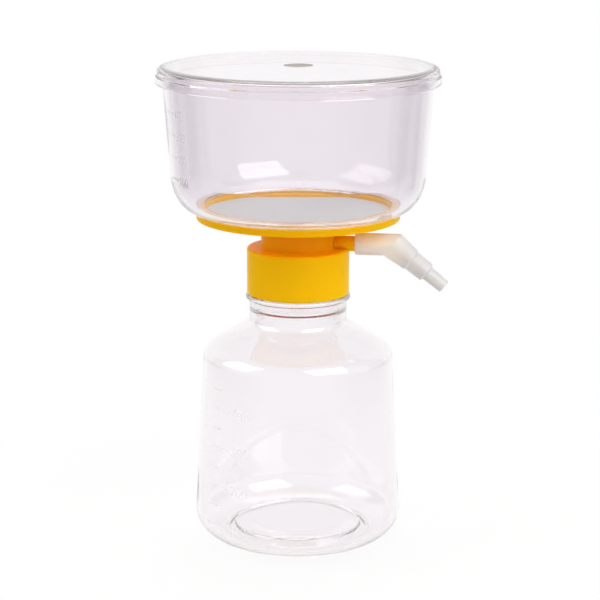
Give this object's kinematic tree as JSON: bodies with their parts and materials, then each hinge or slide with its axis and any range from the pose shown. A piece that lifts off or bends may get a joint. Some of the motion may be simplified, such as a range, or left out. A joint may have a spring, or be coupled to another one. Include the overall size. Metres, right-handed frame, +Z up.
{
  "type": "vacuum filtration unit",
  "caption": "Clear funnel with a lid on a yellow filter head with a side port, screwed on a clear receiver bottle, with a turning hose elbow.",
  "frame": {"origin": "centre of the bottle's foot, on the plane it stands on, on the unit's axis", "axes": "+Z up along the unit's axis, -Y the front, which the bottle's moulded scale faces; the side port points 38 degrees from +X towards +Y"},
  "size_m": [0.1242, 0.1242, 0.2122],
  "materials": {
    "clear_plastic": "clear polished",
    "yellow_plastic": "satin",
    "membrane_white": "matt",
    "milky_plastic": "translucent satin",
    "seal_rubber": "matt"
  },
  "bodies": {
    "receiver": {"receiver_bottle": "clear_plastic"},
    "seal": {"sealing_gasket": "seal_rubber"},
    "head": {"filter_head": "yellow_plastic", "membrane": "membrane_white", "funnel": "clear_plastic"},
    "cover": {"lid": "clear_plastic"},
    "elbow": {"hose_connector": "milky_plastic"}
  },
  "joints": [
    {"name": "head_lift", "type": "slide", "parent": "receiver", "child": "seal", "axis": [0, 0, 1], "range_m": [0, 0.006]},
    {"name": "head_turn", "type": "hinge", "parent": "seal", "child": "head", "pos_m": [0, 0, 0.12], "axis": [0, 0, 1], "range_deg": [0, 540]},
    {"name": "lid_lift", "type": "slide", "parent": "head", "child": "cover", "axis": [0, 0, 1], "range_m": [0, 0.04]},
    {"name": "connector_turn", "type": "hinge", "parent": "head", "child": "elbow", "pos_m": [0.03294, 0.02573, 0.13405], "axis": [0.788, 0.6157, 0], "continuous": true}
  ],
  "couplings": [
    {"joint": "head_lift", "follows": "head_turn", "m_per_rad": 0.0006366}
  ]
}
